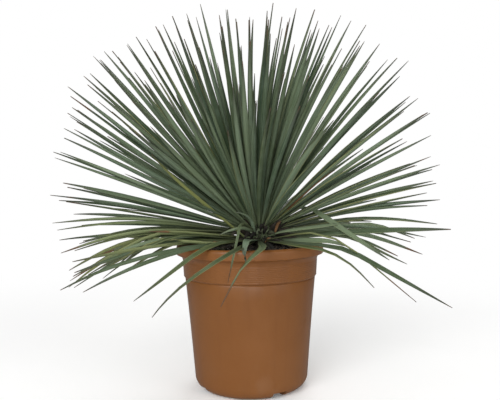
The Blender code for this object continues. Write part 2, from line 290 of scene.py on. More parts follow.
potShape = {
    "sides": 128,
    "lipDepth": 0.0170,
    "lipWidth": 0.0068,
    "lipShoulder": 0.0046,
    "lipDrop": 0.0066,
    "coveWidth": 0.0098,
    "coveHeight": 0.0115,
    "coveStart": 0.0014,
    # how far inside the lip's widest line, and how far over its foot
    "lipFootEdge": ((0.0006, 0.0003), (0.0001, 0.0010), (0.0, 0.0020)),
    "neckRadius": 0.1172,
    "edgeRound": 0.0016,
    "collarTop": 0.2306,
    "collarBottom": 0.1928,
    "collarRadius": 0.1176,
    "collarFlare": 0.0015,
    "bodyTopRadius": 0.1149,
    "bodyFootRadius": 0.1000,
    "footRound": 0.020,
    "wall": 0.0025,
    "floor": 0.0035,
    "ridges": 8,
    "ridgeHeight": 0.00013,
    "ridge": ((0.0, -1.0), (0.32, -0.8), (0.5, 1.0), (0.68, 0.9)),  # share of its height, lift
    "grooveDepth": 0.0009,
    "wallHollow": 0.0004,
    "channelAzimuths": (29, 119, 209, 299),
    "channelWidth": 0.025,
    "channelHeight": 0.0110,
    "channelInner": 0.058,
    "channelOuter": 0.0785,
    "gap": 0.0003,
}

potLook = {
    "clay": (0.168, 0.062, 0.014),
    "paleClay": (0.190, 0.075, 0.021),
    "darkClay": (0.122, 0.042, 0.010),
    "dust": (0.210, 0.105, 0.048),
    "roughness": 0.37,
}


def innerWall():
    p = potShape
    foot = arcPoints(
        p["bodyFootRadius"] - p["footRound"], p["footRound"] + p["floor"] - p["wall"],
        p["footRound"] - p["wall"], -90, 0, 4,
    )
    return foot + [
        (p["bodyTopRadius"] - p["wall"], p["collarBottom"] + p["edgeRound"] / 2),
        (p["collarRadius"] - p["wall"] - p["edgeRound"], p["collarBottom"] + 3 * p["edgeRound"]),
        (p["neckRadius"] - p["wall"], p["collarTop"]),
    ]


def potProfile():
    p, edge = potShape, potShape["edgeRound"]
    lipRadius, height, collarFoot = potHigh.x, potHigh.z, potShape["collarBottom"]
    outside = arcPoints(p["bodyFootRadius"] - p["footRound"], p["footRound"], p["footRound"], -90, 0, 9)
    for i in range(1, 7):  # the long wall, very slightly hollow between foot and collar
        k = i / 7
        r = p["bodyFootRadius"] + (p["bodyTopRadius"] - p["bodyFootRadius"]) * k
        z = p["footRound"] + (collarFoot - edge - p["footRound"]) * k
        outside.append((r - p["wallHollow"] * math.sin(math.pi * k), z))
    for depth, rise in ((0, -1.6), (0.4, -1.0), (1.0, -0.4), (0.7, 0.1)):  # groove
        outside.append((p["bodyTopRadius"] - p["grooveDepth"] * depth, collarFoot + edge * rise))
    for inward, rise in ((1.0, 0.5), (0.5, 1.0), (0.0, 2.0)):  # the collar's rounded foot
        outside.append((p["collarRadius"] - edge * inward, collarFoot + edge * rise))
    # fine moulded ridges round the collar, which widens a little towards the lip
    lipFoot = height - p["lipDepth"]
    low, high = collarFoot + 3 * edge, lipFoot - p["coveHeight"]
    for i in range(p["ridges"]):
        for share, lift in p["ridge"]:
            k = (i + share) / p["ridges"]
            r = p["collarRadius"] + p["collarFlare"] * k + p["ridgeHeight"] * (lift - 1)
            outside.append((r, low + (high - low) * k))
    # a cove leads out to the lip, whose outer face starts in a small round edge
    outside += arcPoints(lipRadius - p["coveStart"], high, -p["coveWidth"], 0, -90, 7, -p["coveHeight"])
    outside += [(lipRadius - inward, lipFoot + rise) for inward, rise in p["lipFootEdge"]]
    # the lip's top falls away to its outer face, and its inner edge is a tight roll
    top = lipRadius - p["lipShoulder"]
    lip = arcPoints(top, height - p["lipDrop"], p["lipShoulder"], 0, 90, 9, p["lipDrop"])
    inner = p["lipWidth"] - p["lipShoulder"]
    lip += arcPoints(top, height - inner, inner, 90, 180, 6)[1:]
    return [(0.0, 0.0)] + outside + lip + innerWall()[::-1] + [(0.0, p["floor"])]


def channelBlocks(name, inner, outer, bottom, top, width):
    blocks = []
    for azimuth in potShape["channelAzimuths"]:
        deselectAll()
        place = heading(azimuth, 0) * (inner + outer) / 2 + Vector((0, 0, (bottom + top) / 2))
        bpy.ops.mesh.primitive_cube_add(
            size=1, location=place, rotation=(0, 0, math.radians(azimuth)),
            scale=(width, outer - inner, top - bottom),
        )
        blocks.append(named(name))
    return joined(blocks, name)


def cutOrAdd(piece, tool, how):
    change = piece.modifiers.new(tool.name, "BOOLEAN")
    change.object = tool
    change.operation = how
    applyModifiers(piece)
    bpy.data.objects.remove(tool, do_unlink=True)


def potPlastic():
    mat, tree, shader = newMaterial("terracottaPlastic")
    look, where = potLook, ownPlace(tree)
    height = put(tree, "ShaderNodeSeparateXYZ", {"Vector": where}), "Z"
    stain = patchesOn(tree, 27.0, 0.52, 0.70)
    grain, speck = gritOn(tree, 1500.0, 0.10)
    # long runs of water down the wall: noise that is stretched in height
    runs = rampBetween(tree, noiseOn(tree, stretched(tree, where, (60, 60, 2.2)), 1.0, 3.0), 0.50, 0.72)
    # pale dust where water dried, low on the wall
    lowDown = rampBetween(tree, height, 0.085, 0.004)
    dust = maths(tree, "MULTIPLY", maths(tree, "MULTIPLY", lowDown, stain), 0.22)
    # satin finish, a little duller where dust and stains lie
    dull = maths(tree, "ADD", maths(tree, "MULTIPLY", stain, 0.10), look["roughness"])
    ripple = bumped(tree, noiseOn(tree, where, 38.0, 2.0), 0.16, 0.0012)
    feed(tree, shader, {
        "Base Color": layered(tree, look["clay"], (
            (patchesOn(tree, 9.0, 0.38, 0.66), 0.42, look["paleClay"]), (runs, 0.22, look["darkClay"]),
            (dust, None, look["dust"]), (speck, 0.45, look["darkClay"]),
        )),
        "Roughness": maths(tree, "ADD", dull, dust), "Specular IOR Level": 0.32,
        "Normal": bumped(tree, grain, 0.10, 0.0004, ripple),
    })
    return mat


def makePot():
    p = potShape
    pot = turnedBody("pot_shell", potProfile(), p["sides"])
    walls = channelBlocks(
        "channelWalls", p["channelInner"] - p["wall"], p["channelOuter"], p["floor"] / 2,
        p["channelHeight"] + p["wall"], p["channelWidth"] + 2 * p["wall"],
    )
    cutOrAdd(pot, walls, "UNION")
    notches = channelBlocks(
        "notches", p["channelInner"], potHigh.x, -p["wall"], p["channelHeight"], p["channelWidth"]
    )
    cutOrAdd(pot, notches, "DIFFERENCE")
    smoothBy(pot, 30)
    dressed(pot, potPlastic())
    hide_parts("pot")
    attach(pot, "root")
    return pot


makePot()
print("pot turned, ribbed and notched")


# Potting mix

mixShape = {
    "edgeHeight": 0.2315,
    "rise": 0.0045,
    "heap": 0.0105,
    "holeRadius": 0.0235,
    "holeBottom": 0.165,
    "rings": 34,
    "sides": 120,
    "lump": 0.0022,
    "chips": 420,
    "crumbs": 70,
    "fibres": 70,
    "chipSizes": (0.0025, 0.0090),
    "crumbSizes": (0.0012, 0.0030),
    "spread": (0.03, 0.108),
    "seed": 21,
}

mixLook = {
    "dark": (0.005, 0.0045, 0.0035),
    "brown": (0.021, 0.016, 0.011),
    "paleChip": (0.070, 0.051, 0.034),
    "crumb": (0.46, 0.44, 0.40),
}


def mixHeight(r):
    inward = max(0.0, 1.0 - r / potShape["neckRadius"])
    heaped = mixShape["heap"] * eased(min(1.0, inward / 0.42))
    return mixShape["edgeHeight"] + mixShape["rise"] * inward + heaped


def mixMaterial():
    mat, tree, shader = newMaterial("dampPottingMix")
    patches = patchesOn(tree, 60.0, 0.36, 0.66)
    grain, speck = gritOn(tree, 700.0, 0.20)
    feed(tree, shader, {
        "Base Color": layered(tree, mixLook["dark"], (
            (patches, None, mixLook["brown"]), (speck, 0.5, mixLook["paleChip"]),
        )),
        "Roughness": rampBetween(tree, patches, 0.0, 1.0, (0.72, 0.95)),
        "Normal": bumped(tree, grain, 0.9, 0.0016),
    })
    return mat


def crumbMaterial(name, dark, pale, scale):
    mat, tree, shader = newMaterial(name)
    patches = patchesOn(tree, scale, 0.35, 0.7)
    own = maths(tree, "MULTIPLY", attribute(tree, "tint"), 0.7)
    feed(tree, shader, {
        "Base Color": mixColours(tree, maths(tree, "MULTIPLY_ADD", patches, 0.4, own), dark, pale),
        "Roughness": maths(tree, "MULTIPLY_ADD", patches, 0.12, 0.8),
        "Normal": bumped(tree, patches, 0.6, 0.0006),
    })
    return mat


def makeMix():
    m, p = mixShape, potShape
    side = [(r - p["gap"], max(z, p["floor"] + p["gap"])) for r, z in innerWall()]
    edgeRadius = side[-1][0]
    hole = m["holeRadius"] + p["gap"]
    top = []
    for i in range(m["rings"] + 1):
        r = edgeRadius + (hole - edgeRadius) * i / m["rings"]
        top.append((r, mixHeight(r)))
    bottom = m["holeBottom"] - p["gap"]
    profile = [(0.0, p["floor"] + p["gap"])] + side + top + [(hole, bottom), (0.0, bottom)]
    mix = turnedBody("mix_surface", profile, m["sides"])
    room = channelBlocks(
        "channelRoom", p["channelInner"] - p["wall"] - p["gap"], potHigh.x, 0.0,
        p["channelHeight"] + p["wall"] + p["gap"], p["channelWidth"] + 2 * (p["wall"] + p["gap"]),
    )
    cutOrAdd(mix, room, "DIFFERENCE")
    upper = mix.vertex_groups.new(name="upper")
    free = [v.index for v in mix.data.vertices if v.co.z > m["edgeHeight"] - 0.0005
            and hole + 0.0012 < math.hypot(v.co.x, v.co.y) < edgeRadius - 0.0008]
    upper.add(free, 1.0, "REPLACE")
    clods = bpy.data.textures.new("clods", "CLOUDS")
    clods.noise_scale = 0.011
    clods.noise_depth = 3
    lumps = mix.modifiers.new("lumps", "DISPLACE")
    lumps.texture = clods
    lumps.texture_coords = "LOCAL"
    lumps.vertex_group = "upper"
    lumps.strength = m["lump"] * 2
    lumps.mid_level = 0.5
    applyModifiers(mix)
    smoothBy(mix, 50)
    dressed(mix, mixMaterial())
    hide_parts("soil")
    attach(mix, "root")


def chipMaster():
    # a flat splinter of bark, from a cube that is cut up and pulled about
    deselectAll()
    bpy.ops.mesh.primitive_cube_add(size=1, location=(0, 0, 0))
    chip = named("chipMaster")
    bpy.ops.object.mode_set(mode="EDIT")
    bpy.ops.mesh.subdivide(number_cuts=1)
    bpy.ops.transform.resize(value=(1.0, 0.55, 0.30))
    bpy.ops.transform.vertex_random(offset=0.12, seed=4)
    bpy.ops.object.mode_set(mode="OBJECT")
    return chip


def crumbMaster():
    deselectAll()
    bpy.ops.mesh.primitive_ico_sphere_add(subdivisions=1, radius=0.5, location=(0, 0, 0))
    crumb = named("crumbMaster")
    bpy.ops.object.mode_set(mode="EDIT")
    bpy.ops.mesh.subdivide(number_cuts=1)
    bpy.ops.transform.vertex_random(offset=0.09, seed=9)
    bpy.ops.object.mode_set(mode="OBJECT")
    return crumb


def scatterBits(master, count, sizes, draws, name):
    bits = []
    near, far = mixShape["spread"]
    for i in range(count):
        r = math.sqrt(draws.uniform(near ** 2, far ** 2))
        azimuth = draws.uniform(0, 360)
        size = draws.uniform(*sizes)
        place = heading(azimuth, 0) * r + Vector((0, 0, mixHeight(r) + size * 0.12))
        turn = Matrix.Rotation(draws.uniform(0, 6.28), 4, "Z")
        tip = Matrix.Rotation(draws.uniform(-0.5, 0.5), 4, "X")
        bit = master.copy()
        bit.data = master.data.copy()
        bpy.context.scene.collection.objects.link(bit)
        bit.data.transform(Matrix.Translation(place) @ turn @ tip @ Matrix.Scale(size, 4))
        marked(bit, "tint", draws.random())
        bits.append(bit)
    bpy.data.objects.remove(master, do_unlink=True)
    return joined(bits, name)


def makeMixBits():
    m, look = mixShape, mixLook
    draws = random.Random(m["seed"])
    chips = scatterBits(chipMaster(), m["chips"], m["chipSizes"], draws, "mix_bark_chips")
    dressed(chips, crumbMaterial("barkChip", look["dark"], look["paleChip"], 240.0))
    crumbs = scatterBits(crumbMaster(), m["crumbs"], m["crumbSizes"], draws, "mix_pale_crumbs")
    dressed(crumbs, crumbMaterial("paleCrumb", look["paleChip"], look["crumb"], 500.0))
    for piece in (chips, crumbs):
        smoothBy(piece, 40)
        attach(piece, "root")


makeMix()
makeMixBits()
print("potting mix laid, with bark and pale crumbs")


# One blade, modelled once; every leaf, leaf base and fibre is a bent copy of it

blade = {
    "length": 0.40,
    "width": 0.0122,
    "thickness": 0.0011,
    "channel": 0.0024,  # how much lower the middle lies than the margins
    # share of the length, share of the width
    "rows": (
        (0.0, 0.50), (0.07, 0.52), (0.16, 0.60), (0.26, 0.76), (0.37, 0.92), (0.48, 1.0), (0.58, 0.97),
        (0.68, 0.87), (0.77, 0.72), (0.85, 0.54), (0.91, 0.37), (0.96, 0.21), (0.985, 0.12), (1.0, 0.05),
    ),
}


def bladeMaster():
    b = blade
    rows = len(b["rows"])
    deselectAll()
    bpy.ops.mesh.primitive_grid_add(x_subdivisions=3, y_subdivisions=rows - 1, size=1, location=(0, 0.5, 0))
    made = named("bladeMaster")
    bpy.ops.object.transform_apply(location=True, rotation=False, scale=False)
    bpy.ops.object.mode_set(mode="EDIT")
    bpy.ops.transform.resize(value=(b["width"], b["length"], 1), center_override=(0, 0, 0))
    bpy.ops.object.mode_set(mode="OBJECT")
    lines = {}
    for v in made.data.vertices:
        lines.setdefault(round(v.co.y / b["length"] * (rows - 1)), []).append(v)
    for i, (share, wide) in enumerate(b["rows"]):
        for v in lines[i]:
            across = v.co.x / (b["width"] / 2)
            v.co.x *= wide * (0.9 if abs(across) < 0.9 else 1.0)
            v.co.y = share * b["length"]
            v.co.z = b["channel"] * wide * (across * across - 0.3)
    thick = made.modifiers.new("thick", "SOLIDIFY")
    thick.thickness = b["thickness"]
    thick.offset = 0.0
    thick.use_even_offset = False
    applyModifiers(made)
    along = made.data.attributes.new("along", "FLOAT", "POINT")
    across = made.data.attributes.new("across", "FLOAT", "POINT")
    outline = np.array(b["rows"])
    for v in made.data.vertices:
        share = clipped(v.co.y / b["length"])
        half = np.interp(share, outline[:, 0], outline[:, 1]) * b["width"] / 2
        along.data[v.index].value = share
        across.data[v.index].value = max(-1.0, min(1.0, v.co.x / max(half, 0.0001)))
    return made


master = bladeMaster()
masterCo = np.empty(len(master.data.vertices) * 3)
master.data.vertices.foreach_get("co", masterCo)
masterCo = masterCo.reshape(-1, 3)
pathSteps = 24


def bladePath(root, azimuth, elevation, length, droop, start, span, sway):
    # points and directions along a blade's middle line: straight, then bending down and aside
    points, ways = [], []
    point = root.copy()
    for i in range(pathSteps + 1):
        bend = clipped((i / pathSteps - start) / span)
        way = heading(azimuth + sway * bend, elevation - droop * bend)
        if i:
            point = point + (way + ways[-1]).normalized() * (length / pathSteps)
        points.append(point)
        ways.append(way)
    return points, ways


outlineAngles = []


def outOfOpenings(seen):
    # how far a leaf seen at this angle swings to clear the openings between the bundles
    swing = 0.0
    for at, wide in openings:
        off, reach = seen + swing - at, wide * leafRule["openingReach"]
        if abs(off) < reach:
            swing += (wide if off > 0 else -wide) * (1 - abs(off) / reach)
    return swing


def seenAngle(placed):
    # the angle from upright at which a leaf's middle is seen, and its share of depth
    away = np.linalg.norm(placed - crownCentre, axis=1)
    middle = placed[np.argsort(away)[len(placed) * 3 // 5]] - crownCentre
    return math.degrees(math.atan2(middle[0], middle[2])), middle[1] / np.linalg.norm(middle)


def openedOut(placed):
    # the whole leaf swings a little about the crown, out of the openings between the bundles
    seen, depth = seenAngle(placed)
    swing = 0.0
    nearest = min(outlineAngles, key=lambda angle: abs(angle - seen))
    if abs(nearest - seen) < leafRule["leanWithin"]:
        swing = (nearest - seen) * leafRule["leanShare"] * max(0.0, 1 - abs(depth) / leafRule["leanUnder"])
    turn = math.radians(swing + outOfOpenings(seen + swing))
    x, z = placed[:, 0] - crownCentre[0], placed[:, 2] - crownCentre[2]
    placed[:, 0] = crownCentre[0] + x * math.cos(turn) + z * math.sin(turn)
    placed[:, 2] = crownCentre[2] - x * math.sin(turn) + z * math.cos(turn)
    return placed


def towardsCrown(placed):
    # near the crown every point moves with the growing point, and the tips stay
    away = np.linalg.norm(placed - np.array((0.0, 0.0, coreCentre)), axis=1)
    share = np.clip(1 - away / leafRule["shiftReach"], 0, 1)[:, None] ** 2
    return placed + share * np.array(leafRule["crownShift"])


def bentBlade(name, root, azimuth, elevation, length, droop, start, span, sway, twist, width, look):
    # look: tint, yellow, dry, margin, shade, curl of the section, and a slow wave to the side
    points, ways = bladePath(root, azimuth, elevation, length, droop, start, span, sway)
    share = np.clip(masterCo[:, 1] / blade["length"], 0.0, 1.0)
    steps = np.linspace(0.0, 1.0, pathSteps + 1)
    p = np.stack([np.interp(share, steps, [q[k] for q in points]) for k in range(3)], 1)
    w = np.stack([np.interp(share, steps, [q[k] for q in ways]) for k in range(3)], 1)
    w /= np.linalg.norm(w, axis=1, keepdims=True)
    level = np.stack([-w[:, 1], w[:, 0], np.zeros(len(w))], 1)
    level /= np.linalg.norm(level, axis=1, keepdims=True)
    upright = np.cross(w, level)
    turn = np.radians(twist * (leafRule["twistAtRoot"] + (1 - leafRule["twistAtRoot"]) * share))[:, None]
    side = level * np.cos(turn) + upright * np.sin(turn)
    up = np.cross(w, side)
    wave = look["wave"] * np.sin(math.pi * share * look["waves"] + look["phase"]) * share
    across = masterCo[:, 0] * width / blade["width"] + wave
    deep = masterCo[:, 2] * look["curl"] + wave * 0.5
    placed = p + side * across[:, None] + up * deep[:, None]
    if look.get("crown"):
        placed = towardsCrown(placed)
        if look["crown"] > 1:
            placed = openedOut(placed)
    leaf = master.copy()
    leaf.data = master.data.copy()
    leaf.name = name
    bpy.context.scene.collection.objects.link(leaf)
    leaf.data.vertices.foreach_set("co", placed.ravel())
    for label in ("tint", "yellow", "dry", "margin", "shade"):
        marked(leaf, label, look.get(label, 0.0))
    return leaf


# Leaves

leafRule = {
    "count": 392,
    "seed": 870,
    "goldenAngle": 137.508,
    "lowestSine": -0.30,
    "crowding": 1.27,
    "lowSeats": 1.8,
    "flattest": (1.9, 6.9),
    "longLeaf": 0.418,
    "shortLeaf": 0.328,
    "shortUnder": 6,
    "longOver": 50,
    "limpUnder": 30,
    "lengthSpread": (0.87, 1.01),
    "widthSpread": (0.84, 1.10),
    "azimuthSpread": 3.5,
    "elevationSpread": 2.5,
    "droop": (1.0, 6.0),
    "limpDroop": (1.0, 14.0),
    "oldDroop": (2.0, 26.0),
    "bendStart": (0.10, 0.28),
    "oldBend": 0.85,
    "sway": 4.0,
    "twist": 68.0,
    "limpTwist": 0.2,
    "twistAtRoot": 0.35,
    "width": 0.0122,
    "sink": 0.008,
    "coreRadius": 0.0300,
    "coreHalfHeight": 0.0220,
    "gap": 0.0003,
    "bareFront": ((42, 24), (64, 9)),
    "levelUnder": 10,
    "frontSeat": -34,
    "raisedFront": (48, 58, 15),
    "clumpSize": 5.2,
    "raisedFade": 12,
    "clumpSize": 5.2,
    "clumpPull": 3.4,
    "clumpOver": 14,
    "raisedLength": 0.90,
    "uprightOver": 55,
    "uprightLength": 0.975,
    "narrower": 0.72,
    "between": 0.40,
    "betweenOver": 24,
    "betweenTurn": 9,
    "betweenRise": 6,
    "betweenLength": (0.72, 0.99),
    "betweenWidth": (0.6, 0.95),
    "leastCosine": 0.3,
    "openingReach": 2.2,
    "calmWave": 0.0008,
    "tiers": (("leaves_upright", 52), ("leaves_spreading", 20), ("leaves_low", -90)),  # over which elevation
    # spiral leaves this near to the picture's plane give way to the leaves along the outline
    "planeShare": 0.14,
    "keptInPlane": 0.35,
    "thinnedReach": 1.6,
    # spiral leaves near that plane lean towards the nearest of those leaves
    "leanUnder": 0.85,
    "leanShare": 0.90,
    "leanWithin": 4.0,
    # the growing point stands a little to the right of the pot's axis
    "crownShift": (0.018, 0.0, 0.004),
    "shiftReach": 0.30,
}

# Share of the spiral's leaves left out, between two directions in degrees from upright towards +X as
# seen from the front
thinner = ((-120, -58, 0.86), (-58, 26, 0.10), (26, 54, 0.43), (54, 118, 0.85))

# Such directions in which light shows through between the bundles of leaves, and how wide each
# opening is
openings = (
    (-98.5, 2.2), (-88, 1.5), (-83, 1.3), (-77.5, 2.0), (-72, 1.8), (-67, 2.0), (-60.5, 1.0), (-51.5, 1.4),
    (-45.5, 1.8), (-37, 0.9), (-27.5, 0.8), (3.8, 1.1), (12.4, 1.4), (18, 1.3), (30.5, 1.6), (35, 1.7),
    (39.2, 1.2), (44.8, 2.1), (52, 1.2), (57.2, 2.0), (62.4, 2.2), (66, 1.4), (69.2, 1.4), (74.6, 1.6),
    (79.8, 1.9), (86, 1.2), (90.6, 1.2), (95.8, 2.4),
)
coreCentre = trunkHigh.z + leafRule["gap"] + leafRule["coreHalfHeight"]
crownCentre = np.array((0.0, 0.0, coreCentre)) + np.array(leafRule["crownShift"])

# Leaves that hang or fold in the open front: azimuth, elevation, length, droop, where the bend
# starts and how long it is, turn to the side, twist, share of the full width, finish
frontLeaves = (
    (-30, 3.4, 0.279, 35, 0.32, 0.26, -29, -76, 0.58, "grass"),
    (-7, 1.5, 0.369, 54, 0.49, 0.50, -89, -70, 0.50, "grass"),
    (-12, 15.6, 0.215, 68, 0.42, 0.04, 0, -24, 0.34, "tipped"),
    (6, 1.9, 0.287, 63, 0.52, 0.28, -110, 0, 0.95, "tipped"),
    (-4, 6.7, 0.180, 134, 0.72, 0.28, -16, -6, 1.15, "blue"),
    (-12, 10.0, 0.139, 37, 0.58, 0.42, -89, 50, 0.50, "pale"),
    (88, 34.4, 0.302, 58, 0.18, 0.19, -46, 62, 0.80, "pale"),
    (39, 1.5, 0.440, 15, 0.39, 0.20, -13, 78, 0.58, "green"),
    (24, 9.3, 0.422, 47, 0.44, 0.21, 87, 12, 0.30, "browned"),
    (27, 1.5, 0.325, 48, 0.66, 0.24, 58, 40, 0.46, "grass"),
    (58, 2.6, 0.190, 17, 0.68, 0.20, 6, 55, 0.95, "pale"),
    (66, 7.0, 0.345, 6, 0.30, 0.70, 6, 50, 1.05, "green"),
    (-64, 2.6, 0.312, 20, 0.36, 0.30, -12, -45, 0.75, "green"),
    (-88, 6.0, 0.345, 38, 0.43, 0.06, -2, -40, 0.62, "green"),
)

# More leaves that stand out by their colour or their place; the last two values are the height on
# the crown at which each is seated and its finish
ownLeaves = (
    (-44, 37.4, 0.272, 0, 0.71, 0.60, 32, 30, 0.60, -34, "yellow"),
    (58, 37.2, 0.200, 20, 0.69, 0.59, -19, 40, 0.62, 30, "rust"),
    (-11, 53.2, 0.096, 54, 0.45, 0.67, -85, -30, 0.62, 0, "blue"),
    (34, 20.0, 0.196, 12, 0.11, 0.27, 50, 35, 0.80, -20, "pale"),
    (-36, 1.5, 0.335, 27, 0.26, 0.69, -36, -60, 0.62, -34, "green"),
    (-42, 1.5, 0.367, 26, 0.18, 0.70, -65, -50, 0.72, -34, "green"),
    (-80, 7.9, 0.323, 33, 0.42, 0.15, 13, 55, 0.62, -34, "olive"),
    (-66, 1.5, 0.318, 7, 0.15, 0.64, 15, 60, 0.70, -34, "olive"),
    (-110, 9.9, 0.278, 49, 0.57, 0.04, 22, -40, 0.60, -34, "olive"),
    (-93, 3.7, 0.346, 8, 0.49, 0.69, 74, 50, 0.72, -34, "green"),
    (-104, 8.1, 0.337, 11, 0.59, 0.67, 62, -60, 0.75, 8, "green"),
    (-33, 2.1, 0.326, 0, 0.29, 0.04, -89, 30, 0.72, -34, "olive"),
    (-70, 8.0, 0.186, 4, 0.50, 0.50, 4, 44, 0.72, -20, "rustTip"),
)

finishes = {
    "yellow": {"yellow": 1.0, "tint": 0.9, "dry": 0.02, "margin": 0.2},
    "rust": {"yellow": 0.9, "tint": 0.7, "dry": 0.66, "margin": 0.6},
    "rustTip": {"yellow": 0.6, "tint": 0.7, "dry": 0.20, "margin": 0.5},
    "tipped": {"yellow": 0.22, "tint": 0.45, "dry": 0.14, "margin": 0.3},
    "grass": {"yellow": 0.26, "tint": -0.05, "dry": 0.01, "margin": 0.6},
    "browned": {"yellow": 0.42, "tint": 0.15, "dry": 0.15, "margin": 0.5},
    "blue": {"yellow": 0.0, "tint": 1.0, "dry": 0.01, "margin": 0.1},
    "pale": {"yellow": 0.15, "tint": 1.1, "dry": 0.01, "margin": 0.2},
    "green": {"yellow": 0.1, "tint": 0.3, "dry": 0.02, "margin": 0.2},
    "olive": {"yellow": 0.55, "tint": 0.6, "dry": 0.02, "margin": 0.4},
}

leafLook = {
    "deep": (0.023, 0.046, 0.023),
    "pale": (0.150, 0.203, 0.128),
    "bloom": (0.138, 0.183, 0.140),
    "yellowGreen": (0.205, 0.225, 0.070),
    "margin": (0.230, 0.235, 0.095),
    # the blades' paler base, made lighter still as painted light on the leaf bases at the crown's foot
    "root": (0.190, 0.228, 0.120),
    # painted shade that darkens the low leaves towards their roots
    "paintedRootShade": (0.020, 0.022, 0.011),
    "tan": (0.250, 0.150, 0.072),
    "rust": (0.150, 0.062, 0.022),
    "tip": (0.040, 0.037, 0.031),
}


def eitherWay(draws, spread):
    return draws.uniform(-spread, spread)


def spiralLeaf(index, draws):
    # one leaf of the golden-angle spiral, from the upright middle to the level outside
    k = leafRule
    sine = 1.0 - ((index + 0.5) / k["count"]) ** k["crowding"] * (1.0 - k["lowestSine"])
    own = math.degrees(math.asin(sine))
    azimuth = (index * k["goldenAngle"] + eitherWay(draws, k["azimuthSpread"]) + 180) % 360 - 180
    elevation = max(own + eitherWay(draws, k["elevationSpread"]), draws.uniform(*k["flattest"]))
    rising = eased(clipped((elevation - k["shortUnder"]) / (k["longOver"] - k["shortUnder"])))
    length = (k["shortLeaf"] + (k["longLeaf"] - k["shortLeaf"]) * rising) * draws.uniform(*k["lengthSpread"])
    limp = 1.0 - clipped(elevation / k["limpUnder"])
    age = clipped(sine / k["lowestSine"])
    droop = draws.uniform(*k["droop"]) + limp * draws.uniform(*k["limpDroop"])
    droop += age * draws.uniform(*k["oldDroop"])
    start = k["bendStart"][0] + k["bendStart"][1] * limp
    span = (1.0 - start) * (1.0 - age * draws.uniform(0.0, k["oldBend"]))
    sway = eitherWay(draws, k["sway"]) * (1.0 + limp)
    twist = eitherWay(draws, k["twist"]) * (1.0 + k["limpTwist"] * limp)
    width = k["width"] * draws.uniform(*k["widthSpread"])
    seat = own if own > 0 else own * k["lowSeats"]
    return (azimuth, elevation, length, droop, start, span, sway, twist, width, seat)


def spiralLeaves():
    draws = random.Random(leafRule["seed"])
    spiral = [spiralLeaf(index, draws) for index in range(leafRule["count"])]
    return [leaf for leaf in spiral if not any(
        abs(leaf[0]) < azimuth and leaf[1] < elevation for azimuth, elevation in leafRule["bareFront"]
    )]


def aside(elevation):
    # how much wider a turn has to be for a leaf that stands up
    return max(leafRule["leastCosine"], math.cos(math.radians(elevation)))


def settled(leaf):
    # leaves lean together in small bundles, and the ones in front stand more upright
    k, (azimuth, elevation) = leafRule, leaf[:2]
    wide, high, lift = k["raisedFront"]
    length = leaf[2] * (k["uprightLength"] if elevation > k["uprightOver"] else 1.0)
    if abs(azimuth) < wide and elevation < high:
        raised = (1 - abs(azimuth) / wide) * min(1.0, (high - elevation) / k["raisedFade"])
        elevation += lift * raised
        length *= 1 - (1 - k["raisedLength"]) * raised
    if elevation > k["clumpOver"]:
        pull = noise.noise_vector(heading(azimuth, elevation) * k["clumpSize"]) * k["clumpPull"]
        azimuth += pull.x / aside(elevation)
        elevation = min(elevation + pull.y, 89.0)
    return (azimuth, elevation, length, *leaf[3:8], leaf[8] * k["narrower"], leaf[9])


def seenFromFront(azimuth, elevation, length):
    # the angle from upright at which a straight leaf is seen, and how far it reaches there
    way = heading(azimuth, elevation)
    reach = length * math.hypot(way.x, way.z) / (1 + length * way.y / cameraPlace["distance"])
    return math.degrees(math.atan2(way.x, way.z)), reach


def outlineAt(seen):
    # how far the head reaches in a direction, and how much a leaf droops there
    turns, reaches, droops = zip(*outlineTurns)
    return float(np.interp(seen, turns, reaches)), float(np.interp(seen, turns, droops))


def withinOutline(leaf):
    seen, reach = seenFromFront(*leaf[:3])
    most = outlineAt(seen)[0]
    return leaf if reach < most else (*leaf[:2], leaf[2] * most / reach, *leaf[3:])


def leftOut(leaf, draws):
    way = heading(leaf[0], leaf[1])
    if abs(way.y) < leafRule["planeShare"]:
        return draws.random() > leafRule["keptInPlane"]
    seen = math.degrees(math.atan2(way.x, way.z))
    reach = math.hypot(way.x, way.z)
    chance = max([share for low, high, share in thinner if low <= seen < high] or [0.0])
    return draws.random() < chance * min(1.0, reach * leafRule["thinnedReach"])


def betweenLeaf(leaf, draws):
    # a thinner leaf from the same part of the crown
    k = leafRule
    azimuth, elevation, length, droop, start, span, sway, twist, width, seat = leaf
    return (
        azimuth + eitherWay(draws, k["betweenTurn"]) / aside(elevation),
        min(88.0, elevation + eitherWay(draws, k["betweenRise"])),
        length * draws.uniform(*k["betweenLength"]), droop, start, span, -sway,
        eitherWay(draws, k["twist"]), width * draws.uniform(*k["betweenWidth"]), seat,
    )


# The head's outline from the left over the top to the right: direction in degrees from upright, how
# far the longest leaves reach there from the crown, and their droop. What lies past the picture's
# right edge is finished there.
outlineTurns = (
    (-95, 0.345, 36), (-84, 0.345, 19), (-74, 0.356, 8), (-66, 0.364, 6), (-58, 0.384, 4), (-45, 0.412, 4),
    (-26, 0.420, 4), (0, 0.410, 4), (22, 0.424, 4), (36, 0.418, 4), (46, 0.400, 4), (56, 0.387, 4),
    (67, 0.356, 6), (76, 0.338, 9), (86, 0.324, 21), (92, 0.295, 32),
)

# Leaves that end along the outline: the direction of each moves at random by a share of the space
# between two, and out of the openings. Depth is how many degrees it stands out of the picture's
# plane, to the front or to the back.
outlineRule = {
    "count": 70, "first": -95, "last": 90, "apart": 0.42, "reach": (0.95, 1.035), "shorter": 0.14,
    "shortReach": (0.76, 0.90), "depth": (-16, 6), "limpOver": 9, "limpBend": (0.35, 0.50),
    "bend": (0.20, 0.80), "twist": (5, 52), "width": (0.52, 0.78),
}


